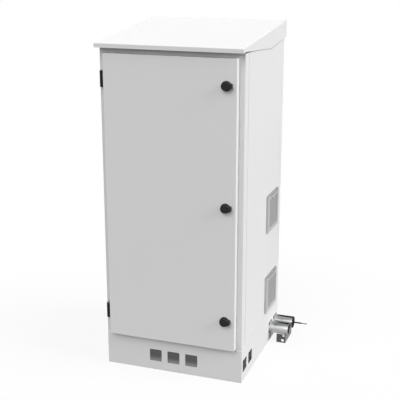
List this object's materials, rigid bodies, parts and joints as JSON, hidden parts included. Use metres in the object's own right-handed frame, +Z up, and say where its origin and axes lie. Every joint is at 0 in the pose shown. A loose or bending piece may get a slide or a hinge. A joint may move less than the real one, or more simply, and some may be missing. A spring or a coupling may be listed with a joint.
{
  "type": "roadside utility cabinet",
  "caption": "Tall white sheet-steel outdoor equipment cabinet with a sloping weather hood, hinged door with quarter-turn latches, side filter grilles, and a plinth with cable openings.",
  "frame": {"origin": "middle of the plinth's footprint, on the ground, at the centre of the anchor bolt pattern", "axes": "+Z up, -Y out of the door, +X towards the side with the filter grilles and conduit stubs"},
  "size_m": [0.757, 0.6455, 1.427],
  "materials": {
    "white_paint": "fine powder coat",
    "zinc_sheet": "zinc-coated sheet",
    "rubber": "matt",
    "membrane_rubber": "ribbed",
    "zinc_fastener": "bright zinc",
    "black_plastic": "fine grain",
    "black_hinge": "satin black",
    "steel_pin": "ground",
    "grey_plastic": "moulded grain",
    "filter_fleece": "open fleece",
    "brass": "turned",
    "stainless": "polished tube",
    "bracket_steel": "mill finish"
  },
  "bodies": {
    "cabinet": {"plinth_front": "white_paint", "plinth_rear": "white_paint", "plinth_left": "white_paint", "plinth_right": "white_paint", "post_front_left": "white_paint", "post_front_right": "white_paint", "post_rear_left": "white_paint", "post_rear_right": "white_paint", "door_header": "white_paint", "door_sill": "white_paint", "side_panel_left": "white_paint", "side_panel_right": "white_paint", "rear_panel": "white_paint", "top_plate": "white_paint", "roof_hood": "white_paint", "roof_rear_band": "white_paint", "base_plate": "zinc_sheet", "gland_plate": "zinc_sheet", "roof_bearer_front": "zinc_sheet", "roof_bearer_rear": "zinc_sheet", "rack_upright_left": "zinc_sheet", "rack_upright_right": "zinc_sheet", "depth_rail_upper_left": "zinc_sheet", "depth_rail_upper_right": "zinc_sheet", "depth_rail_lower_left": "zinc_sheet", "depth_rail_lower_right": "zinc_sheet", "conduit_plug": "rubber", "cable_grommets": "membrane_rubber", "rear_panel_screws": "zinc_fastener", "hinge_frame_leaf_upper": "black_hinge", "hinge_frame_leaf_lower": "black_hinge", "hinge_pins": "steel_pin", "vent_frame_upper": "grey_plastic", "vent_frame_lower": "grey_plastic", "filter_mat_upper": "filter_fleece", "filter_mat_lower": "filter_fleece", "fan_housing": "black_plastic", "earth_stud": "brass", "conduit_front": "stainless", "conduit_rear": "stainless", "probe_tip": "stainless", "conduit_bracket": "bracket_steel", "probe_stem": "rubber"},
    "door": {"door_panel": "white_paint", "door_seal": "rubber", "latch_nuts": "zinc_fastener", "hinge_door_leaf_upper": "black_hinge", "hinge_door_leaf_lower": "black_hinge", "latch_bush_upper": "zinc_fastener", "latch_bush_middle": "zinc_fastener", "latch_bush_lower": "zinc_fastener"},
    "latch_upper": {"latch_knob_upper": "black_plastic", "latch_cam_upper": "zinc_fastener"},
    "latch_middle": {"latch_knob_middle": "black_plastic", "latch_cam_middle": "zinc_fastener"},
    "latch_lower": {"latch_knob_lower": "black_plastic", "latch_cam_lower": "zinc_fastener"},
    "grille_upper": {"vent_cover_upper": "grey_plastic"},
    "grille_lower": {"vent_cover_lower": "grey_plastic"},
    "fan": {"fan_rotor": "black_plastic"}
  },
  "joints": [
    {"name": "door_hinge", "type": "hinge", "parent": "cabinet", "child": "door", "pos_m": [-0.2867, -0.3005, 0.75], "axis": [0, 0, -1], "range_deg": [0, 120]},
    {"name": "latch_upper_turn", "type": "hinge", "parent": "door", "child": "latch_upper", "pos_m": [0.234, -0.3145, 1.234], "axis": [0, 1, 0], "range_deg": [0, 90]},
    {"name": "latch_middle_turn", "type": "hinge", "parent": "door", "child": "latch_middle", "pos_m": [0.234, -0.3145, 0.7566], "axis": [0, 1, 0], "range_deg": [0, 90]},
    {"name": "latch_lower_turn", "type": "hinge", "parent": "door", "child": "latch_lower", "pos_m": [0.234, -0.3145, 0.2792], "axis": [0, 1, 0], "range_deg": [0, 90]},
    {"name": "grille_upper_tip", "type": "hinge", "parent": "cabinet", "child": "grille_upper", "pos_m": [0.3058, 0.133, 0.548], "axis": [0, 1, 0], "range_deg": [0, 90]},
    {"name": "grille_lower_tip", "type": "hinge", "parent": "cabinet", "child": "grille_lower", "pos_m": [0.3058, 0.133, 0.176], "axis": [0, 1, 0], "range_deg": [0, 90]},
    {"name": "fan_spin", "type": "hinge", "parent": "cabinet", "child": "fan", "pos_m": [0.256, 0.133, 0.256], "axis": [1, 0, 0], "continuous": true}
  ]
}
